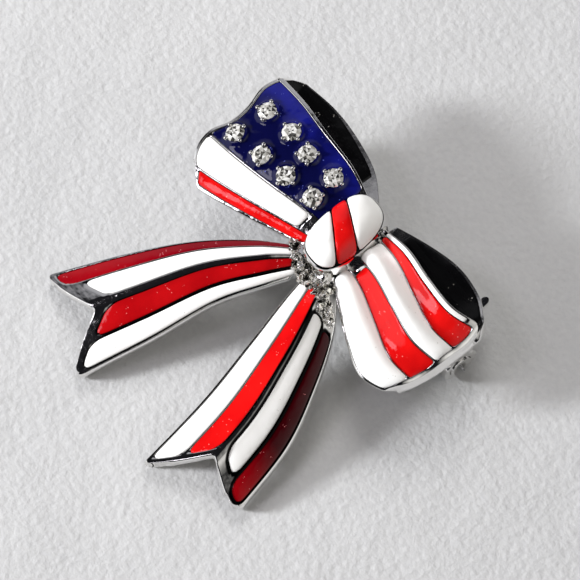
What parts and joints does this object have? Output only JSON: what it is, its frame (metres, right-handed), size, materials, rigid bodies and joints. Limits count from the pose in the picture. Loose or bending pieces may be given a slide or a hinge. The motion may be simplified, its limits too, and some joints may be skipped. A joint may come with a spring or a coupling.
{
  "type": "bow brooch",
  "caption": "Ribbon bow brooch in bright plated metal with red, white and blue flag enamel, round stones and a hinged pin with a turning safety catch.",
  "frame": {"origin": "centre of the outline seen from the front, on the plane that the brooch lies on", "axes": "+Z out of the enamel face, +Y towards the top of the bow with the tails pointing to -Y, +X to the right when the face is seen"},
  "size_m": [0.033, 0.0354, 0.0097],
  "materials": {
    "plated_metal": "polished",
    "steel_pin": "satin",
    "red_enamel": "glossy",
    "white_enamel": "glossy",
    "blue_enamel": "glossy",
    "black_lining": "glossy",
    "crystal": "polished"
  },
  "bodies": {
    "bow": {"casting": "plated_metal", "pin_bar": "plated_metal", "hinge_rivet": "plated_metal", "left_loop_blue": "blue_enamel", "left_loop_white": "white_enamel", "left_loop_red": "red_enamel", "left_loop_lining": "black_lining", "right_loop_white_low": "white_enamel", "right_loop_red_low": "red_enamel", "right_loop_white_mid": "white_enamel", "right_loop_red_high": "red_enamel", "right_loop_white_rim": "white_enamel", "right_loop_lining": "black_lining", "left_tail_red_outer": "red_enamel", "left_tail_white_outer": "white_enamel", "left_tail_red_inner": "red_enamel", "left_tail_white_inner": "white_enamel", "right_tail_white_inner": "white_enamel", "right_tail_red_inner": "red_enamel", "right_tail_white_outer": "white_enamel", "right_tail_red_outer": "red_enamel", "knot_white_low": "white_enamel", "knot_red": "red_enamel", "knot_white_high": "white_enamel", "stone_1": "crystal", "stone_2": "crystal", "stone_3": "crystal", "stone_4": "crystal", "stone_5": "crystal", "stone_6": "crystal", "stone_7": "crystal", "stone_8": "crystal"},
    "stem": {"pin_stem": "steel_pin"},
    "catch": {"catch_roller": "plated_metal"}
  },
  "joints": [
    {"name": "pin_hinge", "type": "hinge", "parent": "bow", "child": "stem", "pos_m": [-0.01151, 0.01086, 0.0019], "axis": [0, 1, 0], "range_deg": [0, 95]},
    {"name": "catch_turn", "type": "hinge", "parent": "bow", "child": "catch", "pos_m": [0.01508, 0.01086, 0.0019], "axis": [-1, 0, 0], "range_deg": [0, 160]}
  ]
}
